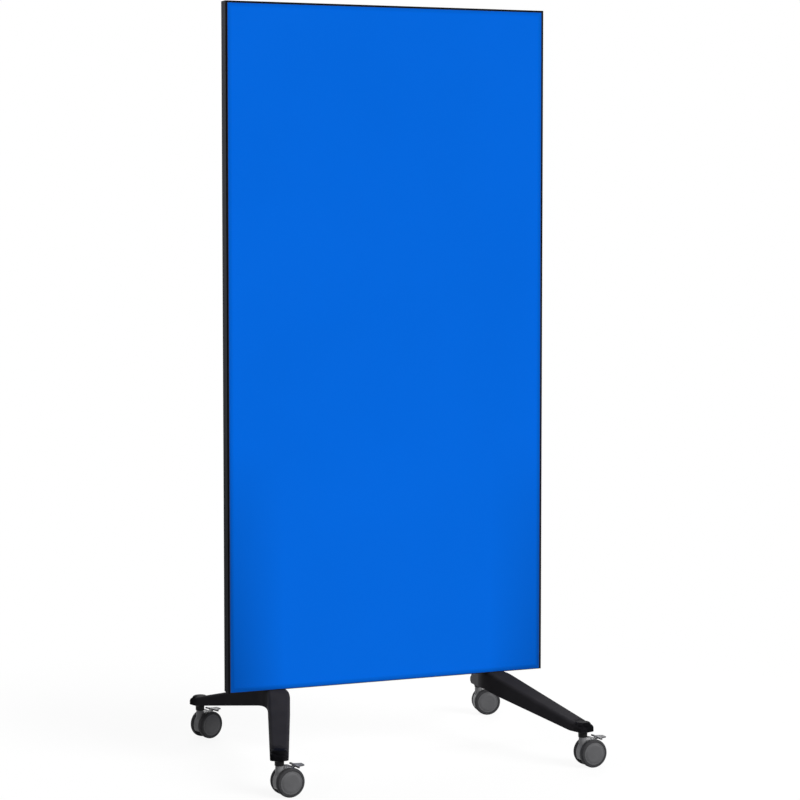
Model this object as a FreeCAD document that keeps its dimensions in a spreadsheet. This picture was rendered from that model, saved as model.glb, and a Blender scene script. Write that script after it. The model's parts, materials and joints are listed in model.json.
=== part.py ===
import FreeCAD, Part
import math
import os
from types import SimpleNamespace

import Sketcher

# Mobile glass whiteboard: a double-sided board on two V-shaped feet with braked twin-wheel casters.
# The origin is on the floor below the middle of the board. +Z is up, and the front pane faces -Y.
# Lengths are in millimetres and turns in degrees.

SIZES = {
    # board
    "panel_width": 900,
    "panel_height": 1800,
    "panel_depth": 37,
    "lip_width": 4,
    "bottom_lip": 1.2,
    "glass_recess": 0.5,
    "glass_thick": 4,
    "glass_gap": 0.2,
    "glass_arris": 0.5,
    "sheet_thick": 0.6,
    "sheet_margin": 2,
    "tube_width": 20,
    "tube_wall": 1.6,
    "tube_edge": 1,
    "core_gap": 0.3,
    "key_leg": 60,
    "key_gap": 0.1,
    # bolts between the board and its feet
    "bolt_radius": 4,
    "bolt_gap": 0.3,
    "thread_gap": 0.05,
    "bolt_head_radius": 6.5,
    "bolt_head_height": 8,
    "bolt_key_half": 3,
    "bolt_key_depth": 4.5,
    "bolt_pitch": 30,
    "bolt_shift": 8,
    "nut_plate_length": 64,
    "nut_plate_width": 22,
    "nut_plate_thick": 6,
    # feet
    "foot_inset": 145,
    "stem_spread": 115,
    "stem_y": 342,
    "root_half": 32,
    "tip_half": 23,
    "tip_reach": 24,
    "tip_round": 12,
    "inside_bend": 150,
    "outside_bend": 210,
    "pad_half": 38,
    "pad_thick": 10,
    "top_bend": 120,
    "top_round": 9,
    "root_depth": 44,
    "tip_depth": 20.5,
    "arch_rise": 58.5,
    "arch_bend": 250,
    "sole_half": 16,
    "sole_bend": 60,
    "foot_wall": 5,
    "rib_thick": 4,
    "boss_wall": 13.5,
    "boss_height": 24.5,
    "boss_round": 8,
    # stems, which hold the casters in the feet
    "stem_radius": 5.5,
    "socket_wall": 2.5,
    "socket_length": 17.5,
    "ring_drop": 6,
    "ring_height": 2,
    "ring_depth": 0.6,
    "ring_slit": 3,
    "collar_radius": 12,
    "collar_height": 16.2,
    "collar_round": 1.5,
    "flange_radius": 15.5,
    "flange_height": 1.5,
    "flange_slope": 3.5,
    "flange_round": 5,
    "swivel_radius": 5,
    "swivel_depth": 30,
    "swivel_gap": 0.3,
    # casters
    "wheel_diameter": 75,
    "wheel_width": 14.8,
    "wheel_gap": 0.9,
    "trail": 22,
    "tread_depth": 6,
    "tread_round": 3,
    "tread_shoulder": 5,
    "rim_depth": 4,
    "web_thick": 3,
    "web_inset": 5,
    "hub_radius": 9,
    "hub_length": 11.5,
    "cover_radius": 29.5,
    "cover_thick": 2,
    "cover_crown": 0.9,
    "axle_radius": 4,
    "fin_width": 21.6,
    "fin_round": 1.2,
    "hood_margin": 1,
    "hood_gap": 4,
    "neck_radius": 10.5,
    "undercut_height": 21,
    "undercut_reach": 5,
    "undercut_rise": 27,
    "undercut_round": 8,
    "pin_radius": 2,
    "pin_reach": 3,
    "pin_drop": 7,
    "pedal_eye": 4.5,
    "pedal_gap": 0.3,
    "tongue_width": 9.4,
    "plate_start": 17,
    "plate_end": 43,
    "plate_overhang": 2.5,
    "plate_bar": 4.5,
    "plate_sweep": 2.5,
    "plate_neck_half": 16,
    "plate_tip_half": 10,
    "plate_drop": 1.3,
    "plate_thick": 3,
    "plate_bevel": 2.2,
    "plate_edge": 1.8,
    "plate_round": 4,
    "snap_depth": 0.4,
    "snap_length": 1,
    "snap_inset": 2,
    "run_gap": 0.05,
    "bond_gap": 0.03,
    # how far each caster stands turned from trailing towards +X
    "front_left_turn": 5,
    "rear_left_turn": 20,
    "front_right_turn": 2,
    "rear_right_turn": -10,
}
RIBS_PER_ARM = 4

Vector = FreeCAD.Vector
doc = FreeCAD.newDocument("mobile_glass_whiteboard")
sheet = doc.addObject("Spreadsheet::Sheet", "dims")


class Size:
    """A number together with the sheet expression that it comes from."""

    def __init__(self, value, text):
        self.value = value
        self.text = text

    def __add__(self, other):
        other = as_size(other)
        return Size(self.value + other.value, f"({self.text} + {other.text})")

    def __radd__(self, other):
        return as_size(other) + self

    def __sub__(self, other):
        other = as_size(other)
        return Size(self.value - other.value, f"({self.text} - {other.text})")

    def __rsub__(self, other):
        return as_size(other) - self

    def __mul__(self, other):
        other = as_size(other)
        return Size(self.value * other.value, f"({self.text} * {other.text})")

    def __rmul__(self, other):
        return as_size(other) * self

    def __truediv__(self, other):
        other = as_size(other)
        return Size(self.value / other.value, f"({self.text} / {other.text})")

    def __neg__(self):
        return Size(-self.value, f"(-{self.text})")


def as_size(number):
    """The number itself if it is a Size, or a plain number as a Size."""
    if isinstance(number, Size):
        return number
    return Size(number, f"({number})")


def root_of(size):
    """Square root of a Size."""
    return Size(math.sqrt(size.value), f"sqrt({size.text})")


dims = SimpleNamespace()
for row, (alias, number) in enumerate(SIZES.items(), start=1):
    sheet.set(f"A{row}", alias.replace("_", " "))
    sheet.set(f"B{row}", str(number))
    sheet.setAlias(f"B{row}", alias)
    setattr(dims, alias, Size(number, f"dims.{alias}"))
doc.recompute()

pieces = []


def keep(piece, label):
    """Name a finished sub-part and put it on the list that is written out."""
    piece.Label = label
    pieces.append(piece)
    return piece


def bind(item, name, size):
    """Tie one property of an object to the sheet."""
    item.setExpression(name, as_size(size).text)


def place(item, x=0, y=0, z=0, axis=(0, 0, 1), turn=0):
    """Seat a sub-part: turned about an axis, then moved, both tied to the sheet."""
    turn = as_size(turn)
    item.Placement = FreeCAD.Placement(Vector(), FreeCAD.Rotation(Vector(*axis), turn.value))
    bind(item, "Placement.Base.x", x)
    bind(item, "Placement.Base.y", y)
    bind(item, "Placement.Base.z", z)
    if "dims." in turn.text:
        bind(item, "Placement.Rotation.Angle", turn)


def new_body(name):
    return doc.addObject("PartDesign::Body", name)


def origin_part(body, role):
    return next(part for part in body.Origin.OriginFeatures if part.Role == role)


def new_sketch(body, role, shift=(0, 0, 0)):
    """Sketch on one of the body's origin planes, shifted along the sketch's own axes."""
    sketch = body.newObject("Sketcher::SketchObject", f"{body.Name}_sketch")
    sketch.AttachmentSupport = (origin_part(body, role), [""])
    sketch.MapMode = "FlatFace"
    for letter, size in zip("xyz", shift):
        bind(sketch, f"AttachmentOffset.Base.{letter}", size)
    return sketch


def hold(element, point, x, y):
    """Rules that hold one point of a sketch at x and y from the sketch's origin, with their sizes."""
    across = Sketcher.Constraint("DistanceX", -1, 1, element, point, x.value)
    upward = Sketcher.Constraint("DistanceY", -1, 1, element, point, y.value)
    return [(across, x), (upward, y)]


def apply_rules(sketch, rules):
    """Add all rules at once and tie those that have a size to the sheet."""
    numbers = sketch.addConstraint([rule for rule, size in rules])
    for number, (rule, size) in zip(numbers, rules):
        if size is not None:
            bind(sketch, f"Constraints[{number}]", size)


def add_circle(sketch, x, y, radius):
    x, y, radius = as_size(x), as_size(y), as_size(radius)
    circle = Part.Circle(Vector(x.value, y.value, 0), Vector(0, 0, 1), radius.value)
    element = sketch.addGeometry(circle, False)
    rules = hold(element, 3, x, y)
    rules.append((Sketcher.Constraint("Radius", element, radius.value), radius))
    apply_rules(sketch, rules)


def add_loop(sketch, corners):
    """Closed outline of straight runs between corners, each (x, y) or, if rounded, (x, y, radius)."""
    corners = [[as_size(size) for size in corner] for corner in corners]
    points = [Vector(corner[0].value, corner[1].value, 0) for corner in corners]
    count = len(points)
    ways = [(points[(i + 1) % count] - points[i]).normalize() for i in range(count)]
    setbacks = []
    for i, corner in enumerate(corners):
        bend = ways[i - 1].getAngle(ways[i])
        setbacks.append(corner[2].value * math.tan(bend / 2) if len(corner) == 3 else 0)
    lines = []
    for i in range(count):
        start = points[i] + ways[i] * setbacks[i]
        end = points[(i + 1) % count] - ways[i] * setbacks[(i + 1) % count]
        lines.append(sketch.addGeometry(Part.LineSegment(start, end), False))
    rules = []
    for i, corner in enumerate(corners):
        before, after = lines[i - 1], lines[i]
        if len(corner) == 2:
            rules.append((Sketcher.Constraint("Coincident", before, 2, after, 1), None))
            rules += hold(after, 1, corner[0], corner[1])
            continue
        radius = corner[2].value
        inward = (ways[i] - ways[i - 1]).normalize()
        centre = points[i] + inward * math.hypot(radius, setbacks[i])
        ends = [points[i] - ways[i - 1] * setbacks[i], points[i] + ways[i] * setbacks[i]]
        first = 1 if ways[i - 1].cross(ways[i]).z > 0 else 2
        spokes = [end - centre for end in ends[:: 3 - 2 * first]]
        angles = [math.atan2(spoke.y, spoke.x) for spoke in spokes]
        circle = Part.Circle(centre, Vector(0, 0, 1), radius)
        arc = sketch.addGeometry(Part.ArcOfCircle(circle, *angles), False)
        apex = sketch.addGeometry(Part.Point(points[i]), True)
        rules.append((Sketcher.Constraint("Tangent", before, 2, arc, first), None))
        rules.append((Sketcher.Constraint("Tangent", after, 1, arc, 3 - first), None))
        rules.append((Sketcher.Constraint("PointOnObject", apex, 1, before), None))
        rules.append((Sketcher.Constraint("PointOnObject", apex, 1, after), None))
        rules.append((Sketcher.Constraint("Radius", arc, radius), corner[2]))
        rules += hold(apex, 1, corner[0], corner[1])
    apply_rules(sketch, rules)


def add_box(sketch, left, low, right, high):
    add_loop(sketch, [(left, low), (right, low), (right, high), (left, high)])


def pad(body, sketch, length, symmetric=True):
    feature = body.newObject("PartDesign::Pad", f"{body.Name}_pad")
    feature.Profile = sketch
    feature.SideType = "Symmetric" if symmetric else "One side"
    bind(feature, "Length", length)
    return feature


def pocket(body, sketch, length=None, symmetric=True):
    """Cut through the whole body, or over a length: across the sketch, or ahead along its normal."""
    feature = body.newObject("PartDesign::Pocket", f"{body.Name}_pocket")
    feature.Profile = sketch
    feature.SideType = "Symmetric" if symmetric else "One side"
    feature.Reversed = not symmetric
    if length is None:
        feature.Type = "ThroughAll"
    else:
        bind(feature, "Length", length)
    return feature


def revolve(body, sketch, kind="PartDesign::Revolution"):
    """Full turn of a sketch about its own upright axis."""
    feature = body.newObject(kind, f"{body.Name}_turned")
    feature.Profile = sketch
    feature.ReferenceAxis = (sketch, ["V_Axis"])
    feature.Angle = 360
    return feature


def repeat(body, features, across, along):
    """Two by two copies of features, stepped by (axis role, distance) each way."""
    pattern = body.newObject("PartDesign::LinearPattern", f"{body.Name}_grid")
    pattern.Originals = features
    pattern.Direction = (origin_part(body, across[0]), [""])
    bind(pattern, "Length", across[1])
    pattern.Occurrences = 2
    pattern.Direction2 = (origin_part(body, along[0]), [""])
    bind(pattern, "Length2", along[1])
    pattern.Occurrences2 = 2
    body.Tip = pattern
    return pattern


# Heights from the floor up
wheel_radius = dims.wheel_diameter / 2
hood_top = dims.wheel_diameter + dims.hood_gap
collar_low = hood_top + dims.swivel_gap
sole = collar_low + dims.collar_height
arch_top = sole + dims.arch_rise
panel_bottom = arch_top + dims.root_depth

# Depths from the middle of the board out to each face
half_depth = dims.panel_depth / 2
glass_face = half_depth - dims.glass_recess
sheet_face = glass_face - dims.glass_thick
tube_half = sheet_face - dims.sheet_thick
half_width = dims.panel_width / 2

# Lines of the feet and stems, out from the middle of the board
foot_x = half_width - dims.foot_inset
stem_x = foot_x + dims.stem_spread


def flat_plate(name, inset, bottom_inset, thickness, depth=0):
    """Upright plate inset from the board's edges, its middle at a depth from the middle of the board."""
    body = new_body(name)
    sketch = new_sketch(body, "XZ_Plane")
    reach = half_width - inset
    add_box(sketch, -reach, bottom_inset, reach, dims.panel_height - inset)
    plate = pad(body, sketch, thickness)
    place(body, 0, depth, panel_bottom)
    keep(body, name)
    return body, plate


glass_inset = dims.lip_width + dims.glass_gap
glass_low = dims.bottom_lip + dims.glass_gap
for name, side in (("front", -1), ("rear", 1)):
    # Glass pane with ground edges, and the steel sheet bonded behind it
    pane_depth = side * (glass_face - dims.glass_thick / 2)
    pane, slab = flat_plate(f"{name}_glass", glass_inset, glass_low, dims.glass_thick, pane_depth)
    arris = pane.newObject("PartDesign::Chamfer", f"{name}_arris")
    arris.Base = (slab, [""])
    arris.UseAllEdges = True
    bind(arris, "Size", dims.glass_arris)
    flat_plate(
        f"{name}_steel_sheet",
        glass_inset + dims.sheet_margin,
        glass_low + dims.sheet_margin,
        dims.sheet_thick,
        side * (sheet_face - dims.sheet_thick / 2),
    )

# Honeycomb core between the two sheets and inside the frame tubes
core_inset = dims.tube_width + dims.core_gap
flat_plate("core_panel", core_inset, core_inset, 2 * tube_half)


def frame_member(name, length):
    """Mitred length of the frame extrusion: x runs in from the board's edge and z along the edge."""
    body = new_body(name)
    section = new_sketch(body, "XY_Plane")
    lip, tube, wall = dims.lip_width, dims.tube_width, dims.tube_wall
    outline = [
        (0, -half_depth, dims.tube_edge),
        (lip, -half_depth),
        (lip, -tube_half),
        (tube, -tube_half),
        (tube, tube_half),
        (lip, tube_half),
        (lip, half_depth),
        (0, half_depth, dims.tube_edge),
    ]
    add_loop(section, outline)
    add_box(section, wall, wall - tube_half, tube - wall, tube_half - wall)
    pad(body, section, length, symmetric=False)
    mitre = new_sketch(body, "XZ_Plane")
    over = tube + wall
    add_loop(mitre, [(-wall, -wall), (over, -wall), (over, over)])
    add_loop(mitre, [(-wall, length + wall), (over, length - over), (over, length + wall)])
    pocket(body, mitre)
    return keep(body, name)


left_stile = frame_member("left_stile", dims.panel_height)
place(left_stile, -half_width, 0, panel_bottom)
right_stile = frame_member("right_stile", dims.panel_height)
place(right_stile, half_width, 0, panel_bottom, turn=180)
top_rail = frame_member("top_rail", dims.panel_width)
place(top_rail, -half_width, 0, panel_bottom + dims.panel_height, axis=(0, 1, 0), turn=90)
bottom_rail = frame_member("bottom_rail", dims.panel_width)
place(bottom_rail, -half_width, 0, panel_bottom, axis=(1, 0, 1), turn=180)

# The bottom rail's lips are milled low below the glass, and its outer wall is drilled for the foot bolts
milling = new_sketch(bottom_rail, "XY_Plane", shift=(0, 0, dims.lip_width))
for side in (-1, 1):
    lip_over = half_depth + dims.lip_width
    add_box(milling, dims.bottom_lip, side * tube_half, dims.lip_width * 2, side * lip_over)
pocket(bottom_rail, milling, dims.panel_width - 2 * dims.lip_width, symmetric=False)
bolt_line = foot_x + dims.bolt_shift
bolt_offsets = [side * bolt_line + step * dims.bolt_pitch / 2 for side in (-1, 1) for step in (-1, 1)]
bolt_hole = dims.bolt_radius + dims.bolt_gap
drilling = new_sketch(bottom_rail, "YZ_Plane", shift=(0, 0, -dims.tube_wall))
for offset in bolt_offsets:
    add_circle(drilling, 0, half_width + offset, bolt_hole)
pocket(bottom_rail, drilling, 3 * dims.tube_wall, symmetric=False)

# L-shaped keys that join the mitred corners from inside the tubes
corner_keys = new_body("corner_keys")
key_outline = new_sketch(corner_keys, "XZ_Plane")
key_near = dims.tube_wall + dims.key_gap
key_far = dims.tube_width - key_near
half_height = dims.panel_height / 2
key_steps = [
    (key_near, key_near),
    (dims.key_leg, key_near),
    (dims.key_leg, key_far),
    (key_far, key_far),
    (key_far, dims.key_leg),
    (key_near, dims.key_leg),
]
for side in (-1, 1):
    for end in (-1, 1):
        corner = [(side * (half_width - x), end * (half_height - z)) for x, z in key_steps]
        add_loop(key_outline, corner)
pad(corner_keys, key_outline, 2 * (tube_half - key_near))
place(corner_keys, 0, 0, panel_bottom + half_height)
keep(corner_keys, "corner_keys")

# Threaded plates inside the bottom rail, above the feet
nut_plates = new_body("nut_plates")
nut_low = panel_bottom + dims.tube_wall
nut_outline = new_sketch(nut_plates, "XY_Plane")
for side in (-1, 1):
    middle = side * bolt_line
    add_box(
        nut_outline,
        middle - dims.nut_plate_length / 2,
        -dims.nut_plate_width / 2,
        middle + dims.nut_plate_length / 2,
        dims.nut_plate_width / 2,
    )
for offset in bolt_offsets:
    add_circle(nut_outline, offset, 0, dims.bolt_radius + dims.thread_gap)
pad(nut_plates, nut_outline, dims.nut_plate_thick, symmetric=False)
place(nut_plates, 0, 0, nut_low)
keep(nut_plates, "nut_plates")

# Socket-head bolts: up through the foot's pad and the rail into the nut plates
foot_bolts = new_body("foot_bolts")
bolt_seat = panel_bottom - dims.pad_thick
bolt_profile = new_sketch(foot_bolts, "XZ_Plane", shift=(-bolt_line - dims.bolt_pitch / 2, 0, 0))
shank_length = dims.pad_thick + dims.tube_wall + dims.nut_plate_thick
bolt_steps = [
    (0, -dims.bolt_head_height),
    (dims.bolt_head_radius, -dims.bolt_head_height),
    (dims.bolt_head_radius, 0),
    (dims.bolt_radius, 0),
    (dims.bolt_radius, shank_length),
    (0, shank_length),
]
add_loop(bolt_profile, bolt_steps)
bolt_shape = revolve(foot_bolts, bolt_profile)
key_hole = new_sketch(
    foot_bolts, "XY_Plane", shift=(-bolt_line - dims.bolt_pitch / 2, 0, -dims.bolt_head_height)
)
key_corner = dims.bolt_key_half * 2 / root_of(as_size(3))
hexagon = [
    (key_corner, 0),
    (key_corner / 2, dims.bolt_key_half),
    (-key_corner / 2, dims.bolt_key_half),
    (-key_corner, 0),
    (-key_corner / 2, -dims.bolt_key_half),
    (key_corner / 2, -dims.bolt_key_half),
]
add_loop(key_hole, hexagon)
key_pocket = pocket(foot_bolts, key_hole, dims.bolt_key_depth, symmetric=False)
repeat(foot_bolts, [bolt_shape, key_pocket], ("X_Axis", dims.bolt_pitch), ("X_Axis", 2 * bolt_line))
place(foot_bolts, 0, 0, bolt_seat)
keep(foot_bolts, "foot_bolts")

# Feet, each drawn with +x pointing away from the middle of the board
arm_length = root_of(dims.stem_spread * dims.stem_spread + dims.stem_y * dims.stem_y)
arm_x = dims.stem_spread / arm_length
arm_y = dims.stem_y / arm_length
socket_radius = dims.stem_radius + dims.run_gap + dims.socket_wall
boss_radius = socket_radius + dims.boss_wall
foot_far = dims.stem_y + dims.tip_reach + dims.tip_half
tip_slope = (panel_bottom - sole - dims.tip_depth) / (dims.stem_y - dims.pad_half)
overcut = dims.foot_wall


def foot_plan(sketch, wall):
    """Outline of the V seen from above, drawn in by a wall all round."""
    half = dims.tip_half - wall
    end_x = stem_x + arm_x * (dims.tip_reach - wall)
    end_y = dims.stem_y + arm_y * (dims.tip_reach - wall)
    corner = dims.tip_round - wall
    outline = [
        (foot_x + dims.root_half - wall, 0, dims.inside_bend + wall),
        (end_x + arm_y * half, end_y - arm_x * half, corner),
        (end_x - arm_y * half, end_y + arm_x * half, corner),
        (foot_x - dims.root_half + wall, 0, dims.outside_bend - wall),
        (end_x - arm_y * half, -end_y - arm_x * half, corner),
        (end_x + arm_y * half, -end_y + arm_x * half, corner),
    ]
    add_loop(sketch, outline)


def above_the_arms(sketch, wall):
    """Region above the foot's top line, lowered by a wall: level under the board, then falling."""
    top = panel_bottom - wall
    low = top - tip_slope * (foot_far - dims.pad_half)
    outline = [
        (foot_far, low),
        (foot_far, panel_bottom + 2 * overcut),
        (-foot_far, panel_bottom + 2 * overcut),
        (-foot_far, low),
        (-dims.pad_half, top, dims.top_bend),
        (dims.pad_half, top, dims.top_bend),
    ]
    add_loop(sketch, outline)


def foot_casting(name):
    """Rounded V of the foot with its stem bosses, before it is hollowed."""
    body = new_body(f"{name}_casting")
    plan = new_sketch(body, "XY_Plane", shift=(0, 0, sole - overcut))
    foot_plan(plan, as_size(0))
    pad(body, plan, panel_bottom - sole + 2 * overcut, symmetric=False)
    tops = new_sketch(body, "YZ_Plane")
    above_the_arms(tops, as_size(0))
    pocket(body, tops)
    arch = new_sketch(body, "YZ_Plane")
    sole_start = dims.stem_y - dims.sole_half
    arch_outline = [
        (-foot_far, sole),
        (-foot_far, sole - 2 * overcut),
        (foot_far, sole - 2 * overcut),
        (foot_far, sole),
        (sole_start, sole, dims.sole_bend),
        (0, arch_top, dims.arch_bend),
        (-sole_start, sole, dims.sole_bend),
    ]
    add_loop(arch, arch_outline)
    blank = pocket(body, arch)
    doc.recompute()
    rounding = body.newObject("PartDesign::Fillet", f"{name}_rounding")
    rounding.Base = (blank, upper_edges(blank.Shape))
    bind(rounding, "Radius", dims.top_round)
    for side in (-1, 1):
        profile = new_sketch(body, "XZ_Plane", shift=(stem_x, sole, side * dims.stem_y))
        boss_steps = [
            (0, 0),
            (boss_radius, 0),
            (boss_radius, dims.boss_height, dims.boss_round),
            (0, dims.boss_height),
        ]
        add_loop(profile, boss_steps)
        revolve(body, profile)
    bores = new_sketch(body, "XY_Plane", shift=(0, 0, sole - overcut))
    for side in (-1, 1):
        add_circle(bores, stem_x, side * dims.stem_y, socket_radius + dims.bond_gap)
    pocket(body, bores, overcut + dims.socket_length + dims.swivel_gap, symmetric=False)
    holes = new_sketch(body, "XY_Plane", shift=(0, 0, arch_top - overcut))
    for step in (-1, 1):
        add_circle(holes, bolt_line + step * dims.bolt_pitch / 2, 0, bolt_hole)
    pocket(body, holes, dims.root_depth + 2 * overcut, symmetric=False)
    return body


def upper_edges(shape):
    """Names of the edges where the top of the foot meets its upright sides."""
    names = []
    for number, edge in enumerate(shape.Edges, start=1):
        tilts = []
        for face in shape.ancestorsOfType(edge, Part.Face):
            u_low, u_high, v_low, v_high = face.ParameterRange
            tilts.append(face.normalAt((u_low + u_high) / 2, (v_low + v_high) / 2).z)
        if max(tilts) > 0.5 and abs(min(tilts, key=abs)) < 0.01:
            names.append(f"Edge{number}")
    return names


def foot_hollow(name):
    """Space inside the casting, open below, with cross ribs, bosses and the bolt pad left standing."""
    body = new_body(f"{name}_hollow")
    plan = new_sketch(body, "XY_Plane", shift=(0, 0, sole - overcut))
    foot_plan(plan, dims.foot_wall)
    pad(body, plan, panel_bottom - sole + 2 * overcut, symmetric=False)
    tops = new_sketch(body, "YZ_Plane")
    above_the_arms(tops, dims.foot_wall)
    pocket(body, tops)
    bolt_pad = new_sketch(body, "YZ_Plane")
    add_box(bolt_pad, -dims.pad_half, bolt_seat, dims.pad_half, panel_bottom + 2 * overcut)
    pocket(body, bolt_pad)
    ribs = new_sketch(body, "YZ_Plane")
    rib_step = (dims.stem_y - boss_radius - dims.pad_half) / (RIBS_PER_ARM + 1)
    for side in (-1, 1):
        for number in range(1, RIBS_PER_ARM + 1):
            middle = dims.pad_half + rib_step * number
            near = side * (middle - dims.rib_thick / 2)
            far = side * (middle + dims.rib_thick / 2)
            add_box(ribs, near, sole - 2 * overcut, far, panel_bottom + 2 * overcut)
    pocket(body, ribs)
    bosses = new_sketch(body, "XY_Plane", shift=(0, 0, sole - 2 * overcut))
    for side in (-1, 1):
        add_circle(bosses, stem_x, side * dims.stem_y, boss_radius)
    pocket(body, bosses, panel_bottom - sole + 4 * overcut, symmetric=False)
    return body


for name, turn in (("left_foot", 180), ("right_foot", 0)):
    foot = doc.addObject("Part::Cut", name)
    foot.Base = foot_casting(name)
    foot.Tool = foot_hollow(name)
    place(foot, turn=turn)
    keep(foot, name)


def four_turned(name, steps, low, cut=None):
    """The same turned piece at all four stems, standing at a height."""
    body = new_body(name)
    profile = new_sketch(body, "XZ_Plane", shift=(-stem_x, 0, dims.stem_y))
    add_loop(profile, steps)
    features = [revolve(body, profile)]
    if cut:
        slit = new_sketch(body, "XY_Plane", shift=(-stem_x, -dims.stem_y, -overcut))
        add_box(slit, 0, -cut / 2, boss_radius, cut / 2)
        features.append(pocket(body, slit, dims.ring_height + 2 * overcut, symmetric=False))
    repeat(body, features, ("X_Axis", 2 * stem_x), ("Y_Axis", 2 * dims.stem_y))
    place(body, 0, 0, low)
    return keep(body, name)


# Sleeve pressed into each end of a foot, with a groove for the stem's spring ring
stem_bore = dims.stem_radius + dims.run_gap
groove = stem_bore + dims.ring_depth
ring_high = dims.socket_length - dims.ring_drop
ring_low = ring_high - dims.ring_height
socket_steps = [
    (stem_bore, 0),
    (socket_radius, 0),
    (socket_radius, dims.socket_length),
    (stem_bore, dims.socket_length),
    (stem_bore, ring_high + dims.swivel_gap),
    (groove, ring_high + dims.swivel_gap),
    (groove, ring_low - dims.swivel_gap),
    (stem_bore, ring_low - dims.swivel_gap),
]
four_turned("stem_sockets", socket_steps, sole)

# Stem: pin up into the sleeve, flanged collar below the foot, and the pin that the hood turns on
snap = dims.snap_depth
pin_low = -dims.collar_height - dims.swivel_gap - dims.swivel_depth
snap_low = pin_low + dims.snap_inset
stem_steps = [
    (0, pin_low),
    (dims.swivel_radius, pin_low),
    (dims.swivel_radius, snap_low),
    (dims.swivel_radius - snap, snap_low),
    (dims.swivel_radius - snap, snap_low + 2 * dims.snap_length),
    (dims.swivel_radius, snap_low + 2 * dims.snap_length),
    (dims.swivel_radius, -dims.collar_height),
    (dims.collar_radius, -dims.collar_height, dims.collar_round),
    (dims.collar_radius, -dims.flange_height - dims.flange_slope, dims.flange_round),
    (dims.flange_radius, -dims.flange_height),
    (dims.flange_radius, 0),
    (dims.stem_radius, 0),
    (dims.stem_radius, ring_low - dims.swivel_gap),
    (dims.stem_radius - dims.ring_depth, ring_low - dims.swivel_gap),
    (dims.stem_radius - dims.ring_depth, ring_high + dims.swivel_gap),
    (dims.stem_radius, ring_high + dims.swivel_gap),
    (dims.stem_radius, dims.socket_length),
    (0, dims.socket_length),
]
four_turned("caster_stems", stem_steps, sole)

# Split spring ring between the stem's groove and the sleeve's
ring_inner = dims.stem_radius - dims.ring_depth + dims.bond_gap
ring_outer = groove - dims.bond_gap
ring_steps = [
    (ring_inner, 0),
    (ring_outer, 0),
    (ring_outer, dims.ring_height),
    (ring_inner, dims.ring_height),
]
four_turned("grip_rings", ring_steps, sole + ring_low, cut=dims.ring_slit)

# Casters, each drawn with its stem on the z axis and its wheels trailing towards +x
inner_face = dims.fin_width / 2 + dims.wheel_gap
pin_x = dims.trail + dims.pin_reach
pin_z = dims.wheel_diameter - dims.pin_drop
wheel_axis = (dims.trail, 0, wheel_radius)
rim_radius = wheel_radius - dims.tread_depth
rim_inner = rim_radius - dims.rim_depth
axle_bore = dims.axle_radius + dims.run_gap
snap_out = dims.hub_length - dims.snap_inset
snap_in = snap_out - dims.snap_length


def caster_hood():
    """Moulded fin between the wheels with its round neck, cut away below and slotted for the pedal."""
    body = new_body("hood")
    fin = new_sketch(body, "XZ_Plane")
    add_circle(fin, dims.trail, wheel_radius, wheel_radius - dims.hood_margin)
    disc = pad(body, fin, dims.fin_width)
    doc.recompute()
    rounding = body.newObject("PartDesign::Fillet", f"{body.Name}_rounding")
    rims = [f"Edge{n}" for n, edge in enumerate(disc.Shape.Edges, start=1) if edge.isClosed()]
    rounding.Base = (disc, rims)
    bind(rounding, "Radius", dims.fin_round)
    neck = new_sketch(body, "XY_Plane", shift=(0, 0, wheel_radius))
    add_circle(neck, 0, 0, dims.neck_radius)
    pad(body, neck, hood_top - wheel_radius, symmetric=False)
    undercut = new_sketch(body, "XZ_Plane")
    far = dims.trail + dims.wheel_diameter
    undercut_outline = [
        (-far, dims.undercut_height),
        (-far, -wheel_radius),
        (far, -wheel_radius),
        (far, dims.undercut_height + dims.undercut_rise * 2),
        (dims.trail + dims.undercut_reach, dims.undercut_height, dims.undercut_round),
    ]
    add_loop(undercut, undercut_outline)
    pocket(body, undercut)
    slot = new_sketch(body, "XZ_Plane")
    slot_gap = dims.pedal_eye + dims.wheel_gap
    add_box(slot, pin_x - slot_gap, pin_z - slot_gap, far, dims.wheel_diameter * 2)
    pocket(body, slot, dims.tongue_width + 2 * dims.pedal_gap)
    bores = new_sketch(body, "XZ_Plane")
    add_circle(bores, dims.trail, wheel_radius, dims.axle_radius + dims.bond_gap)
    add_circle(bores, pin_x, pin_z, dims.pin_radius + dims.bond_gap)
    pocket(body, bores)
    stem_hole = new_sketch(body, "XZ_Plane", shift=(0, hood_top, 0))
    bore = dims.swivel_radius + dims.run_gap
    bottom = -dims.swivel_depth - dims.swivel_gap
    bead_low = dims.snap_inset + dims.snap_length / 2 - dims.swivel_depth
    hole_steps = [
        (0, bottom),
        (bore, bottom),
        (bore, bead_low),
        (bore - snap, bead_low),
        (bore - snap, bead_low + dims.snap_length),
        (bore, bead_low + dims.snap_length),
        (bore, dims.hood_gap),
        (0, dims.hood_gap),
    ]
    add_loop(stem_hole, hole_steps)
    revolve(body, stem_hole, kind="PartDesign::Groove")
    return body


def caster_axle():
    """Axle through the hood, with a groove near each end that a wheel snaps into."""
    body = new_body("axle")
    profile = new_sketch(body, "XY_Plane", shift=wheel_axis)
    end = inner_face + dims.hub_length
    waist = dims.axle_radius - snap
    low = inner_face + snap_in - dims.snap_length / 2
    high = inner_face + snap_out + dims.snap_length / 2
    radius = dims.axle_radius
    half = [(radius, low), (waist, low), (waist, high), (radius, high), (radius, end), (0, end)]
    other = [(r, -y) for r, y in reversed(half)]
    add_loop(profile, other + half)
    revolve(body, profile)
    return body


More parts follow.
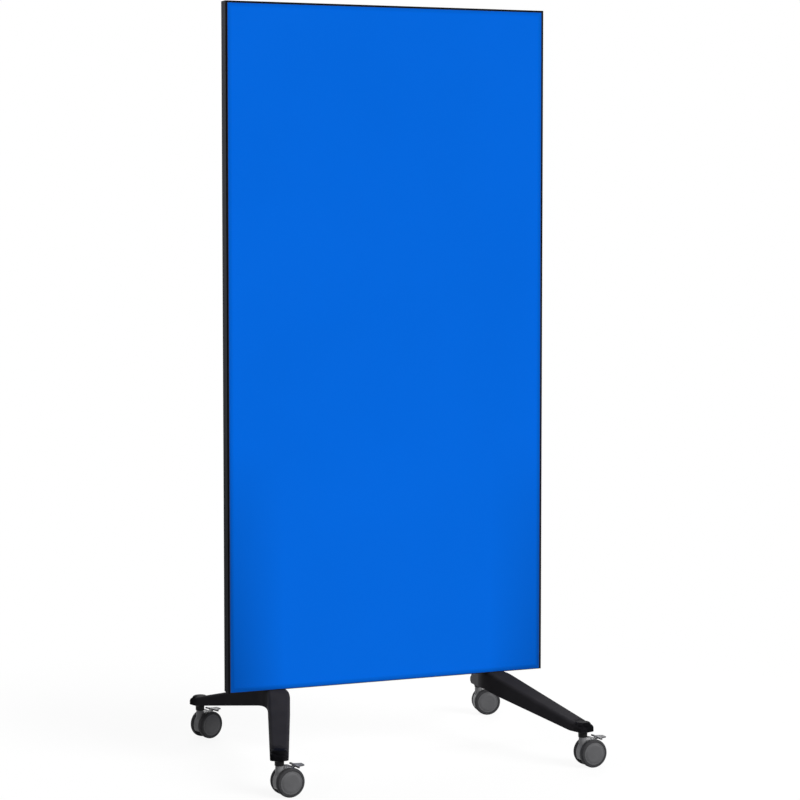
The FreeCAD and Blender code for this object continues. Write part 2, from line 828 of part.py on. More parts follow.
def wheel_core(side):
    """Hub, web and rim, with a snap bead in the bore and a seat for the cover."""
    body = new_body("wheel_core")
    profile = new_sketch(body, "XY_Plane", shift=wheel_axis)
    bead = axle_bore - snap
    web = dims.web_inset
    hub, length = dims.hub_radius, dims.hub_length
    seat = dims.cover_radius + dims.bond_gap
    ledge = dims.wheel_width - 2 * dims.cover_thick
    steps = [
        (axle_bore, 0),
        (hub, 0),
        (hub, web),
        (rim_inner, web),
        (rim_inner, dims.wheel_gap),
        (rim_radius, dims.wheel_gap),
        (rim_radius, dims.wheel_width - dims.wheel_gap),
        (seat, dims.wheel_width - dims.wheel_gap),
        (seat, ledge),
        (rim_inner, ledge),
        (rim_inner, web + dims.web_thick),
        (hub, web + dims.web_thick),
        (hub, length),
        (axle_bore, length),
        (axle_bore, snap_out),
        (bead, snap_out),
        (bead, snap_in),
        (axle_bore, snap_in),
    ]
    add_loop(profile, [(r, side * (inner_face + t)) for r, t in steps])
    revolve(body, profile)
    return body


def wheel_tread(side):
    """Soft tyre moulded round the rim, rounder on its outer shoulder than on its inner one."""
    body = new_body("wheel_tread")
    profile = new_sketch(body, "XY_Plane", shift=wheel_axis)
    inner = rim_radius + dims.bond_gap
    near = side * (inner_face + dims.wheel_gap / 2)
    far = side * (inner_face + dims.wheel_width - dims.wheel_gap / 2)
    steps = [
        (inner, near),
        (wheel_radius, near, dims.tread_round),
        (wheel_radius, far, dims.tread_shoulder),
        (inner, far),
    ]
    add_loop(profile, steps)
    revolve(body, profile)
    return body


def wheel_cover(side):
    """Slightly crowned disc that closes the wheel's outer side, with a rim that seats in the core."""
    body = new_body("wheel_cover")
    profile = new_sketch(body, "XY_Plane", shift=wheel_axis)
    edge = dims.wheel_width - dims.cover_crown
    ledge = dims.wheel_width - 2 * dims.cover_thick
    skirt = dims.cover_radius - dims.cover_thick
    steps = [
        (0, dims.wheel_width - dims.cover_thick),
        (skirt, edge - dims.cover_thick),
        (skirt, ledge),
        (dims.cover_radius, ledge),
        (dims.cover_radius, edge, dims.cover_crown),
        (dims.cover_radius * 2 / 3, dims.wheel_width, dims.cover_radius),
        (0, dims.wheel_width),
    ]
    add_loop(profile, [(r, side * (inner_face + step[0]), *step[1:]) for r, *step in steps])
    revolve(body, profile)
    return body


def brake_pedal():
    """Wings over the wheels and a toe plate, on a tongue that reaches down into the hood's slot."""
    body = new_body("brake_pedal")
    plate_low = dims.wheel_diameter - dims.plate_drop
    plate_top = plate_low + dims.plate_thick
    start, end = dims.trail + dims.plate_start, dims.trail + dims.plate_end
    bar_end = start + dims.plate_bar
    neck = bar_end + dims.plate_sweep
    wide = inner_face + dims.wheel_width + dims.plate_overhang
    plan = new_sketch(body, "XY_Plane", shift=(0, 0, plate_low))
    outline = [
        (start, -wide, dims.plate_edge),
        (bar_end, -wide, dims.plate_edge),
        (neck, -dims.plate_neck_half, dims.plate_round),
        (end, -dims.plate_tip_half, dims.plate_round),
        (end, dims.plate_tip_half, dims.plate_round),
        (neck, dims.plate_neck_half, dims.plate_round),
        (bar_end, wide, dims.plate_edge),
        (start, wide, dims.plate_edge),
    ]
    add_loop(plan, outline)
    pad(body, plan, dims.plate_thick, symmetric=False)
    bevel = new_sketch(body, "XZ_Plane")
    over = dims.plate_thick
    slope = [
        (start - over, plate_top - dims.plate_bevel - over),
        (start + dims.plate_bevel + over, plate_top + over),
        (start - over, plate_top + over),
    ]
    add_loop(bevel, slope)
    pocket(body, bevel)
    eye = new_sketch(body, "XZ_Plane")
    add_circle(eye, pin_x, pin_z, dims.pedal_eye)
    pad(body, eye, dims.tongue_width)
    tongue = new_sketch(body, "XZ_Plane")
    reach = (start + end) / 2
    arm = [
        (pin_x, pin_z - dims.pedal_eye / 2),
        (reach, plate_low + dims.plate_thick / 2),
        (start, plate_top - dims.plate_thick / 4),
        (pin_x, pin_z + dims.pedal_eye / 2),
    ]
    add_loop(tongue, arm)
    pad(body, tongue, dims.tongue_width)
    bore = new_sketch(body, "XZ_Plane")
    add_circle(bore, pin_x, pin_z, dims.pin_radius + dims.run_gap)
    pocket(body, bore)
    return body


def pedal_pin():
    body = new_body("pedal_pin")
    outline = new_sketch(body, "XZ_Plane")
    add_circle(outline, pin_x, pin_z, dims.pin_radius)
    pad(body, outline, dims.fin_width)
    return body


casters = [
    ("front_left", -1, -1, dims.front_left_turn),
    ("rear_left", -1, 1, dims.rear_left_turn),
    ("front_right", 1, -1, dims.front_right_turn),
    ("rear_right", 1, 1, dims.rear_right_turn),
]
for corner, side_x, side_y, turn in casters:
    caster_pieces = {
        "hood": caster_hood(),
        "axle": caster_axle(),
        "brake_pedal": brake_pedal(),
        "pedal_pin": pedal_pin(),
    }
    for wheel, side in (("near_wheel", -1), ("far_wheel", 1)):
        caster_pieces[f"{wheel}_core"] = wheel_core(side)
        caster_pieces[f"{wheel}_tread"] = wheel_tread(side)
        caster_pieces[f"{wheel}_cover"] = wheel_cover(side)
    for name, body in caster_pieces.items():
        place(body, side_x * stem_x, side_y * dims.stem_y, 0, turn=turn)
        keep(body, f"{corner}_{name}")

doc.recompute()

faults = []
for item in doc.Objects:
    if "Invalid" in item.State or "Error" in item.State:
        faults.append(f"{item.Label}: {item.State}")
    elif item.TypeId in ("PartDesign::Pocket", "PartDesign::Groove"):
        if item.Shape.isNull() or item.Shape.Volume >= item.BaseFeature.Shape.Volume:
            faults.append(f"{item.Label}: cuts nothing")
for piece in pieces:
    if piece.Shape.isNull() or not piece.Shape.isValid() or not piece.Shape.Solids:
        faults.append(f"{piece.Label}: no valid solid")
if faults:
    raise RuntimeError("\n".join(faults))

os.makedirs("parts", exist_ok=True)
for piece in pieces:
    piece.Shape.exportStep(f"parts/{piece.Label}.step")
print(f"{len(pieces)} sub-parts written")
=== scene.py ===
import json
import math

import bmesh
import bpy
import numpy as np
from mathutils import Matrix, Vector


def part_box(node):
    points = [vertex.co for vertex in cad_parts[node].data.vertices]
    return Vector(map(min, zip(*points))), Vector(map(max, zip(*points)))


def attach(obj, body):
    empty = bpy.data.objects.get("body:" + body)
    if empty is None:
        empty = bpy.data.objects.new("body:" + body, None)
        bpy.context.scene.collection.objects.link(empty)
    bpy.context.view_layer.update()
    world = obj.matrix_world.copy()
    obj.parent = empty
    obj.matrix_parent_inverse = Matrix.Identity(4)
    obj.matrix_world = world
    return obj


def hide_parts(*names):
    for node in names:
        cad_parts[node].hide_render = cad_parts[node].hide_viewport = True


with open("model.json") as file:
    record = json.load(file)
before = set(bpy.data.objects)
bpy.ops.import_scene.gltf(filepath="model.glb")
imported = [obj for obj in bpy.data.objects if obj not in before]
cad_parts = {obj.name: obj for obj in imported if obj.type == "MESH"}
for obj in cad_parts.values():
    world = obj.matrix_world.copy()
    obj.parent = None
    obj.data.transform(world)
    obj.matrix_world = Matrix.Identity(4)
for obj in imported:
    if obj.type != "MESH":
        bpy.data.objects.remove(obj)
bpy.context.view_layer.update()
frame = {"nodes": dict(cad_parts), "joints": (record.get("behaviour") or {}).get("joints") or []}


# Writing panes, front and rear: tempered glass, painted blue on its back and bedded in the frame's lips.
# The blue is darkened along the edges and in the low corners as painted shade.
# The clear face has a faint ripple from the furnace rollers and faint streaks where it was wiped.
def paint(red, green, blue):
    """Shader colour of sRGB steps from 0 to 255: a share c becomes ((c + 0.055) / 1.055) ** 2.4."""
    share = np.array([red, green, blue]) / 255
    linear = np.where(share <= 0.04045, share / 12.92, ((share + 0.055) / 1.055) ** 2.4)
    return (*linear.tolist(), 1.0)


def add_node(tree, kind, inputs=None, **settings):
    """New shader node with its settings; each input gets a plain value or another node's output."""
    node = tree.nodes.new(kind)
    for name, value in settings.items():
        setattr(node, name, value)
    for name, value in (inputs or {}).items():
        if isinstance(value, bpy.types.NodeSocket):
            tree.links.new(value, node.inputs[name])
        else:
            node.inputs[name].default_value = value
    return node


def new_finish(name, **sockets):
    """Material with one Principled shader, whose plain values are set by socket name with _ for a space."""
    finish = bpy.data.materials.new(name)
    finish.use_nodes = True
    shader = finish.node_tree.nodes["Principled BSDF"]
    for socket, value in sockets.items():
        shader.inputs[socket.replace("_", " ")].default_value = value
    return finish, finish.node_tree, shader


def surface_place(tree, stretch=(1, 1, 1)):
    """Object coordinates in metres, stretched along each axis."""
    place = add_node(tree, "ShaderNodeTexCoord")
    mapping = add_node(tree, "ShaderNodeMapping", {"Vector": place.outputs["Object"], "Scale": stretch})
    return mapping.outputs["Vector"]


def spread(tree, value, low, high, start=0.0, end=1.0):
    """Value carried in a straight line from start..end to low..high, and held there beyond the ends."""
    inputs = {"Value": value, "From Min": start, "From Max": end, "To Min": low, "To Max": high}
    return add_node(tree, "ShaderNodeMapRange", inputs).outputs["Result"]


NOISE_LOW = 0.3
NOISE_HIGH = 0.7


def noise_range(tree, noise, low, high):
    """The middle of a noise's range, which holds nearly all of it, carried to low..high."""
    return spread(tree, noise.outputs["Fac"], low, high, NOISE_LOW, NOISE_HIGH)


def mixed_colour(tree, share, first, second):
    """First colour where the share is 0, second where it is 1."""
    node = add_node(tree, "ShaderNodeMixRGB", {"Fac": share, "Color1": first, "Color2": second})
    return node.outputs["Color"]


def reckon(tree, operation, *values):
    """Result of one sum on plain values and other nodes' outputs, in the order given."""
    node = add_node(tree, "ShaderNodeMath", dict(enumerate(values)), operation=operation)
    return node.outputs["Value"]


def place_parts(tree):
    """The X, Y and Z of the Object coordinates, in metres."""
    return add_node(tree, "ShaderNodeSeparateXYZ", {"Vector": surface_place(tree)}).outputs


def add_relief(tree, shader, height, depth):
    """Bump of the given depth in metres on the shader's normal."""
    inputs = {"Height": height, "Distance": depth, "Strength": 1.0}
    bump = add_node(tree, "ShaderNodeBump", inputs)
    tree.links.new(bump.outputs["Normal"], shader.inputs["Normal"])


def dress(finish, *names):
    """Put a finish on CAD nodes."""
    for name in names:
        slots = frame["nodes"][name].data.materials
        slots.clear()
        slots.append(finish)


BLUE = paint(3, 106, 229)
CLOUD_BLUE = paint(2, 104, 225)
# painted shade: the blue of the panes where the painted shade is at its strongest
PAINTED_SHADE_BLUE = paint(1, 78, 172)
BOUNCE_GREY = paint(170, 170, 172)
CLOUDS_PER_METRE = 2.0
RIM_WIDTH = 0.013
RIM_LOW = 0.85
RIM_TOP = 0.45
CORNER_ACROSS = 0.15
CORNER_UP = 0.65
CORNER_LEFT = 0.9
CORNER_RIGHT = 0.6
WIPE_STRETCH = (5, 5, 60)
WIPE_SWIRL = 1.5
WIPED_SMOOTH = 0.05
WIPED_ROUGH = 0.14
STREAK_LOW = 0.35
STREAK_HIGH = 0.75
ROLLER_PITCH = 0.26
ROLLER_WANDER = 0.6
ROLLER_RIPPLE = 0.00002
WAVE_TURN = 20  # radians for each metre that Blender's wave texture turns through at a scale of 1
glass, tree, shader = new_finish("blue_glass", IOR=1.5, Specular_IOR_Level=0.02)
clouds = {"Vector": surface_place(tree), "Scale": CLOUDS_PER_METRE, "Detail": 3.0}
cloudy = add_node(tree, "ShaderNodeTexNoise", clouds)
tone = mixed_colour(tree, noise_range(tree, cloudy, 0, 1), BLUE, CLOUD_BLUE)
pane_low, pane_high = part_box("front_glass")
spot = place_parts(tree)
from_side = reckon(tree, "SUBTRACT", pane_high.x, reckon(tree, "ABSOLUTE", spot["X"]))
from_bottom = reckon(tree, "SUBTRACT", spot["Z"], pane_low.z)
from_top = reckon(tree, "SUBTRACT", pane_high.z, spot["Z"])
from_edge = reckon(tree, "MINIMUM", from_side, reckon(tree, "MINIMUM", from_bottom, from_top))
# painted shade: the blue darkens near every edge, most at the bottom, and in the low corners, most on the
# left
near_edge = spread(tree, from_edge, 1, 0, 0, RIM_WIDTH)
rim_shade_share = spread(tree, spot["Z"], RIM_LOW, RIM_TOP, pane_low.z, pane_high.z)
rim = reckon(tree, "MULTIPLY", rim_shade_share, near_edge)
near_side = spread(tree, from_side, 1, 0, 0, CORNER_ACROSS)
near_bottom = spread(tree, from_bottom, 1, 0, 0, CORNER_UP)
corner_shade_share = spread(tree, spot["X"], CORNER_LEFT, CORNER_RIGHT, pane_low.x, pane_high.x)
corner = reckon(tree, "MULTIPLY", corner_shade_share, reckon(tree, "MULTIPLY", near_side, near_bottom))
depth = reckon(tree, "MINIMUM", reckon(tree, "ADD", rim, corner), 1.0)
seen = mixed_colour(tree, depth, tone, PAINTED_SHADE_BLUE)
# light that the panes throw on the feet and casters stays neutral
bounced = add_node(tree, "ShaderNodeLightPath").outputs["Is Diffuse Ray"]
tree.links.new(mixed_colour(tree, bounced, seen, BOUNCE_GREY), shader.inputs["Base Color"])
wiped = {"Vector": surface_place(tree, WIPE_STRETCH), "Scale": 1.0, "Detail": 4.0, "Distortion": WIPE_SWIRL}
streaks = add_node(tree, "ShaderNodeTexNoise", wiped)
gloss = spread(tree, streaks.outputs["Fac"], WIPED_SMOOTH, WIPED_ROUGH, STREAK_LOW, STREAK_HIGH)
tree.links.new(gloss, shader.inputs["Roughness"])
turns = math.tau / WAVE_TURN / ROLLER_PITCH
waves = {"Vector": surface_place(tree), "Scale": turns, "Distortion": ROLLER_WANDER}
ripple = add_node(tree, "ShaderNodeTexWave", waves, wave_type="BANDS", bands_direction="Z")
add_relief(tree, shader, ripple.outputs["Fac"], ROLLER_RIPPLE)
dress(glass, "front_glass", "rear_glass")


# Bedding bead round each pane: black sealant, pressed into the gap between the glass and the frame's lip
# and wiped to a hollow fillet that ends on the glass, wide at the sides and narrow along the bottom.
def grid_faces(rows, columns, rows_close=False):
    """Four-sided faces between neighbours of a grid of points, with each row, and if asked the rows too,
    joined up at the end."""
    row = np.arange(rows if rows_close else rows - 1)[:, None]
    column = np.arange(columns)[None, :]
    row_next, column_next = (row + 1) % rows, (column + 1) % columns
    corners = [row * columns + column, row * columns + column_next]
    corners += [row_next * columns + column_next, row_next * columns + column]
    return np.stack(corners, -1).reshape(-1, 4).tolist()


SHARP_ANGLE = math.radians(35)


def new_piece(name, points, faces, finish, body):
    """Mesh object from points and faces, facing outwards, smooth but for edges past the sharp angle. It
    rides on a body and takes the finish in a material slot."""
    mesh = bpy.data.meshes.new(name)
    mesh.from_pydata(points.reshape(-1, 3).tolist(), [], faces)
    outside = bmesh.new()
    outside.from_mesh(mesh)
    bmesh.ops.recalc_face_normals(outside, faces=outside.faces)
    outside.to_mesh(mesh)
    outside.free()
    mesh.shade_smooth()
    mesh.set_sharp_from_angle(angle=SHARP_ANGLE)
    mesh.materials.append(finish)
    piece = bpy.data.objects.new(name, mesh)
    bpy.context.scene.collection.objects.link(piece)
    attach(piece, body)
    return piece


BEAD_SIDE_LEG = 0.002
BEAD_TOP_LEG = 0.0013
BEAD_LOW_LEG = 0.0006
BEAD_HEIGHT = 0.00042
BEAD_ROOT = 0.0012
PANE_GAP = 0.0002
GAP_CLEAR = 0.00002
BEAD_STEPS = 7
TOOL_MARKS = 350.0
TOOL_DEPTH = 0.00004
SEALANT_DARK = paint(9, 10, 12)
SEALANT_PALE = paint(17, 18, 21)
sealant, tree, shader = new_finish("sealant", Roughness=0.55, Specular_IOR_Level=0.15)
marks = {"Vector": surface_place(tree), "Scale": TOOL_MARKS, "Detail": 2.0}
tooled = add_node(tree, "ShaderNodeTexNoise", marks)
tone = mixed_colour(tree, tooled.outputs["Fac"], SEALANT_DARK, SEALANT_PALE)
tree.links.new(tone, shader.inputs["Base Color"])
add_relief(tree, shader, tooled.outputs["Fac"], TOOL_DEPTH)
for side, name in ((-1, "front"), (1, "rear")):
    low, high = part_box(f"{name}_glass")
    face_depth = max(abs(low.y), abs(high.y))
    turn = np.linspace(0, math.pi / 2, BEAD_STEPS)
    fillet_in = 1 - np.cos(turn)
    fillet_out = BEAD_HEIGHT * (1 - np.sin(turn))
    gap_walls = [PANE_GAP - GAP_CLEAR, GAP_CLEAR]
    side_in = np.concatenate([BEAD_SIDE_LEG * fillet_in, gap_walls])[:, None]
    top_in = np.concatenate([BEAD_TOP_LEG * fillet_in, gap_walls])[:, None]
    low_in = np.concatenate([BEAD_LOW_LEG * fillet_in, gap_walls])[:, None]
    outward = np.concatenate([fillet_out, [-BEAD_ROOT, -BEAD_ROOT]])[:, None]
    across = np.array([-1, 1, 1, -1]) * side
    upper = np.array([False, False, True, True])
    bead_x = across * (high.x + PANE_GAP - side_in)
    bead_z = np.where(upper, high.z + PANE_GAP - top_in, low.z - PANE_GAP + low_in)
    bead_y = np.broadcast_to(side * (face_depth + outward), bead_x.shape)
    ring = np.stack([bead_x, bead_y, bead_z], -1)
    faces = grid_faces(len(outward), len(upper), rows_close=True)
    new_piece(f"{name}_bedding_bead", ring, faces, sealant, "board")


# Steel sheets and core: thin sheets bonded behind the panes, so that magnets hold, on a paper honeycomb.
# They are closed in by the panes and the frame.
ROLL_STRETCH = (60, 60, 2)
ROLL_LINES = 12.0
SHEET_SMOOTH = 0.28
SHEET_ROUGH = 0.46
SHEET_GREY = paint(140, 143, 148)
SHEET_PALE = paint(163, 166, 170)
sheet, tree, shader = new_finish("sheet_steel", Metallic=1.0)
rolled = {"Vector": surface_place(tree, ROLL_STRETCH), "Scale": ROLL_LINES, "Detail": 3.0}
lines = add_node(tree, "ShaderNodeTexNoise", rolled)
tone = mixed_colour(tree, lines.outputs["Fac"], SHEET_GREY, SHEET_PALE)
tree.links.new(tone, shader.inputs["Base Color"])
tree.links.new(spread(tree, lines.outputs["Fac"], SHEET_SMOOTH, SHEET_ROUGH), shader.inputs["Roughness"])
dress(sheet, "front_steel_sheet", "rear_steel_sheet")

CELL_SIZE = 0.012
CELL_WANDER = 0.15
WALL_FULL = 0.03
WALL_FADE = 0.08
WALL_RISE = 0.001
PAPER_SHADE = paint(120, 92, 58)
PAPER_TAN = paint(186, 150, 104)
honeycomb, tree, shader = new_finish("paper_honeycomb", Roughness=0.9, Specular_IOR_Level=0.2)
cells = {"Vector": surface_place(tree), "Scale": 1 / CELL_SIZE, "Randomness": CELL_WANDER}
walls = add_node(tree, "ShaderNodeTexVoronoi", cells, feature="DISTANCE_TO_EDGE")
wall = spread(tree, walls.outputs["Distance"], 1, 0, WALL_FULL, WALL_FADE)
tree.links.new(mixed_colour(tree, wall, PAPER_SHADE, PAPER_TAN), shader.inputs["Base Color"])
add_relief(tree, shader, wall, WALL_RISE)
dress(honeycomb, "core_panel")


# Frame: four lengths of black anodised aluminium extrusion, mitred at the corners and keyed inside. The die
# leaves fine lines along each length. The lips that hold the panes are darker than the outer walls: painted
# shade. The outer edges are a little paler, part wear from handling and part painted highlight.
EDGE_SAMPLES = 6
EDGE_LIKENESS = 0.75
FLAT_LIKENESS = 0.98
PATCH_LOW = 0.35
PATCH_HIGH = 0.65
LEAST_EDGE_TONE = 0.2


def worn_and_highlit_edge_group():
    """Mask of a piece's edges: the turn of the rounded normal from the true one, broken up by noise."""
    group = bpy.data.node_groups.new("worn_and_highlit_edges", "ShaderNodeTree")
    for name in ("Width", "Breakup"):
        group.interface.new_socket(name, in_out="INPUT", socket_type="NodeSocketFloat")
    group.interface.new_socket("Mask", in_out="OUTPUT", socket_type="NodeSocketFloat")
    outer = group.nodes.new("NodeGroupInput").outputs
    rounded = add_node(group, "ShaderNodeBevel", {"Radius": outer["Width"]}, samples=EDGE_SAMPLES)
    true_normal = add_node(group, "ShaderNodeNewGeometry")
    likeness = add_node(group, "ShaderNodeVectorMath", operation="DOT_PRODUCT")
    group.links.new(rounded.outputs["Normal"], likeness.inputs[0])
    group.links.new(true_normal.outputs["Normal"], likeness.inputs[1])
    edge = spread(group, likeness.outputs["Value"], 1, 0, EDGE_LIKENESS, FLAT_LIKENESS)
    patches = {"Vector": surface_place(group), "Scale": outer["Breakup"], "Detail": 3.0}
    broken = add_node(group, "ShaderNodeTexNoise", patches)
    share = spread(group, broken.outputs["Fac"], LEAST_EDGE_TONE, 1, PATCH_LOW, PATCH_HIGH)
    result = group.nodes.new("NodeGroupOutput")
    group.links.new(reckon(group, "MULTIPLY", edge, share), result.inputs["Mask"])
    return group


worn_and_highlit_edges = worn_and_highlit_edge_group()


def edge_mask(tree, width, breakup):
    """Edge mask in a material, for wear and painted highlight, with its own width in metres and patches per
    metre.
    """
    node = add_node(tree, "ShaderNodeGroup", node_tree=worn_and_highlit_edges)
    node.inputs["Width"].default_value = width
    node.inputs["Breakup"].default_value = breakup
    return node.outputs["Mask"]


WALL_BLACK = paint(42, 43, 46)
WALL_PALE = paint(50, 51, 55)
LIP_SHADE_BLACK = paint(13, 14, 16)
EDGE_WEAR_HIGHLIGHT_GREY = paint(64, 66, 70)
SEAM_BLACK = paint(6, 6, 7)
SEAM_HALF = 0.0002
LIP_START = 0.0172
LIP_FULL = 0.018
FINE_LINES = 900
LONG_LINES = 6
LINE_DEPTH = 0.00002
ANODISED_SMOOTH = 0.35
ANODISED_ROUGH = 0.55
stile_low, stile_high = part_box("left_stile")
for name, stretch, members in (
    ("black_frame_upright", (FINE_LINES, FINE_LINES, LONG_LINES), ("left_stile", "right_stile")),
    ("black_frame_level", (LONG_LINES, FINE_LINES, FINE_LINES), ("top_rail", "bottom_rail")),
):
    anodised, tree, shader = new_finish(name, Specular_IOR_Level=0.0015)
    drawn = {"Vector": surface_place(tree, stretch), "Scale": 1.0, "Detail": 2.0}
    lines = add_node(tree, "ShaderNodeTexNoise", drawn)
    tone = mixed_colour(tree, lines.outputs["Fac"], WALL_BLACK, WALL_PALE)
    # paler outer edges: part wear, part painted highlight
    tone = mixed_colour(tree, edge_mask(tree, width=0.0005, breakup=60.0), tone, EDGE_WEAR_HIGHLIGHT_GREY)
    spot = place_parts(tree)
    # painted shade: the lips that face the panes are darker than the outer walls
    lip_shade = spread(tree, reckon(tree, "ABSOLUTE", spot["Y"]), 0, 1, LIP_START, LIP_FULL)
    tone = mixed_colour(tree, lip_shade, tone, LIP_SHADE_BLACK)
    from_side = reckon(tree, "ADD", stile_low.x, reckon(tree, "ABSOLUTE", spot["X"]))
    from_bottom = reckon(tree, "SUBTRACT", stile_low.z, spot["Z"])
    from_top = reckon(tree, "SUBTRACT", spot["Z"], stile_high.z)
    off_mitre = reckon(tree, "SUBTRACT", from_side, reckon(tree, "MAXIMUM", from_bottom, from_top))
    seam = reckon(tree, "LESS_THAN", reckon(tree, "ABSOLUTE", off_mitre), SEAM_HALF)
    tree.links.new(mixed_colour(tree, seam, tone, SEAM_BLACK), shader.inputs["Base Color"])
    tree.links.new(noise_range(tree, lines, ANODISED_SMOOTH, ANODISED_ROUGH), shader.inputs["Roughness"])
    add_relief(tree, shader, lines.outputs["Fac"], LINE_DEPTH)
    dress(anodised, *members)


# Fixings inside the board and feet: moulded corner keys, threaded steel plates, and zinc-plated bolts that
# come up through each foot into its plate.
def skin_group():
    """Skin of moulded plastic or sprayed paint: a blotchy tone, and a fine grain in gloss and height."""
    group = bpy.data.node_groups.new("skin", "ShaderNodeTree")
    for name in ("Dark", "Light"):
        group.interface.new_socket(name, in_out="INPUT", socket_type="NodeSocketColor")
    for name in ("Smooth", "Rough", "Grain", "Blotch"):
        group.interface.new_socket(name, in_out="INPUT", socket_type="NodeSocketFloat")
    group.interface.new_socket("Colour", in_out="OUTPUT", socket_type="NodeSocketColor")
    group.interface.new_socket("Roughness", in_out="OUTPUT", socket_type="NodeSocketFloat")
    group.interface.new_socket("Height", in_out="OUTPUT", socket_type="NodeSocketFloat")
    outer = group.nodes.new("NodeGroupInput").outputs
    place = surface_place(group)
    grains = {"Vector": place, "Scale": outer["Grain"], "Detail": 2.0}
    fine = add_node(group, "ShaderNodeTexNoise", grains)
    blotches = {"Vector": place, "Scale": outer["Blotch"], "Detail": 4.0}
    broad = add_node(group, "ShaderNodeTexNoise", blotches)
    share = noise_range(group, broad, 0, 1)
    gloss = noise_range(group, fine, 0, 1)
    result = group.nodes.new("NodeGroupOutput")
    group.links.new(mixed_colour(group, share, outer["Dark"], outer["Light"]), result.inputs["Colour"])
    roughness = add_node(group, "ShaderNodeMapRange", {"Value": gloss})
    group.links.new(outer["Smooth"], roughness.inputs["To Min"])
    group.links.new(outer["Rough"], roughness.inputs["To Max"])
    group.links.new(roughness.outputs["Result"], result.inputs["Roughness"])
    group.links.new(fine.outputs["Fac"], result.inputs["Height"])
    return group


skin = skin_group()


def add_skin(tree, shader, dark, light, smooth, rough, grain, blotch, depth):
    """Skin on a material: two tones, two gloss levels, grains and blotches per metre, and grain depth."""
    node = add_node(tree, "ShaderNodeGroup", node_tree=skin)
    values = {"Dark": dark, "Light": light, "Smooth": smooth, "Rough": rough}
    values |= {"Grain": grain, "Blotch": blotch}
    for name, value in values.items():
        node.inputs[name].default_value = value
    tree.links.new(node.outputs["Colour"], shader.inputs["Base Color"])
    tree.links.new(node.outputs["Roughness"], shader.inputs["Roughness"])
    add_relief(tree, shader, node.outputs["Height"], depth)


def rub_and_highlight_edges(tree, shader, pale, width, breakup):
    """Paler tone on the edges, part wear and part painted highlight, over the colour that the shader has so
    far.
    """
    colour = shader.inputs["Base Color"].links[0].from_socket
    paler_edges = mixed_colour(tree, edge_mask(tree, width, breakup), colour, pale)
    tree.links.new(paler_edges, shader.inputs["Base Color"])


moulded, tree, shader = new_finish("black_nylon", Specular_IOR_Level=0.3)
add_skin(
    tree, shader, dark=paint(20, 20, 22), light=paint(27, 27, 30),
    smooth=0.45, rough=0.6, grain=900.0, blotch=30.0, depth=0.00003,
)
dress(moulded, "corner_keys", "stem_sockets")

zinc, tree, shader = new_finish("zinc_plate", Metallic=1.0)
add_skin(
    tree, shader, dark=paint(132, 135, 139), light=paint(158, 160, 163),
    smooth=0.25, rough=0.42, grain=700.0, blotch=60.0, depth=0.00001,
)
dress(zinc, "nut_plates", "foot_bolts", "grip_rings")


# Feet: one V-shaped casting each, hollow and ribbed below, with a boss at each end for the caster's stem.
# The satin charcoal powder coat shows a slight orange peel and paler edges, part wear and part painted
# highlight, and it is darkened round the bosses as painted shade.
joints = {joint["name"]: joint for joint in frame["joints"]}
BOSS_SHADE_DARK = paint(15, 15, 17)
BOSS_SHIFT = 0.33
BOSS_RADIUS = 0.017
BOSS_FADE = 0.042
BOSS_RAGGED = 0.006
RAGGED_PER_METRE = 150.0
powder, tree, shader = new_finish("charcoal_powder_coat", Specular_IOR_Level=0.006)
add_skin(
    tree, shader, dark=paint(41, 40, 43), light=paint(47, 46, 49),
    smooth=0.45, rough=0.6, grain=420.0, blotch=14.0, depth=0.00006,
)
# paler edges: part wear, part painted highlight
rub_and_highlight_edges(tree, shader, pale=paint(58, 58, 62), width=0.0012, breakup=45.0)
# painted shade: the coat darkens round each boss at the arm ends, with a ragged edge
spot = place_parts(tree)
stem = Vector(joints["rear_right_swivel_turn"]["pos_m"])
patch = stem.lerp(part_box("right_foot")[1], BOSS_SHIFT)
offset_x = reckon(tree, "SUBTRACT", reckon(tree, "ABSOLUTE", spot["X"]), patch.x)
offset_y = reckon(tree, "SUBTRACT", reckon(tree, "ABSOLUTE", spot["Y"]), patch.y)
squares = [reckon(tree, "POWER", offset, 2.0) for offset in (offset_x, offset_y)]
from_patch = reckon(tree, "SQRT", reckon(tree, "ADD", *squares))
ragged_inputs = {"Vector": surface_place(tree), "Scale": RAGGED_PER_METRE, "Detail": 3.0}
ragged_noise = add_node(tree, "ShaderNodeTexNoise", ragged_inputs)
ragged = noise_range(tree, ragged_noise, -BOSS_RAGGED, BOSS_RAGGED)
boss_shade_share = spread(tree, reckon(tree, "ADD", from_patch, ragged), 1, 0, BOSS_RADIUS, BOSS_FADE)
coat = shader.inputs["Base Color"].links[0].from_socket
tree.links.new(mixed_colour(tree, boss_shade_share, coat, BOSS_SHADE_DARK), shader.inputs["Base Color"])
dress(powder, "left_foot", "right_foot")


# Stems: turned steel with a flanged collar, blackened in oil, pressed into each foot and held by the spring
# ring. The collar's corners are rubbed bright by the hood that turns under it.
blackened, tree, shader = new_finish("blackened_steel", Specular_IOR_Level=0.1)
add_skin(
    tree, shader, dark=paint(14, 14, 15), light=paint(22, 22, 23),
    smooth=0.3, rough=0.45, grain=1200.0, blotch=50.0, depth=0.00001,
)
rub_and_highlight_edges(tree, shader, pale=paint(52, 52, 54), width=0.0006, breakup=150.0)
dress(blackened, "caster_stems")


